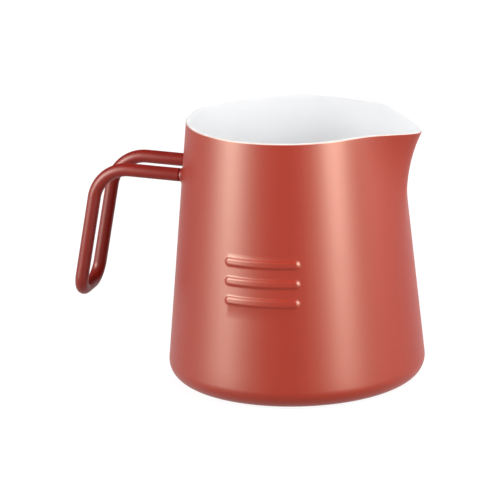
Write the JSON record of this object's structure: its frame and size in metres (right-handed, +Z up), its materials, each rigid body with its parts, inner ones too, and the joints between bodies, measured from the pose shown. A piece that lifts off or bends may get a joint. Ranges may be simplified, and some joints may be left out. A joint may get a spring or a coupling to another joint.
{
  "type": "milk jug",
  "caption": "Small tapered steel milk jug with a pressed pouring lip, white lining and a handle bent from one round rod, for frothing and pouring milk.",
  "frame": {"origin": "middle of the jug's flat foot, on the table, on the axis of the body", "axes": "+Z up along the body's axis, +X towards the pouring lip, handle on the -X side, level ribs on the -Y side"},
  "size_m": [0.1241, 0.0888, 0.0909],
  "materials": {
    "body_coat": "satin",
    "handle_coat": "satin",
    "white_lining": "satin"
  },
  "bodies": {
    "root": {"jug_shell": "body_coat", "inner_lining": "white_lining", "handle_rod": "handle_coat", "handle_boss_right": "handle_coat", "handle_boss_left": "handle_coat"}
  },
  "joints": []
}
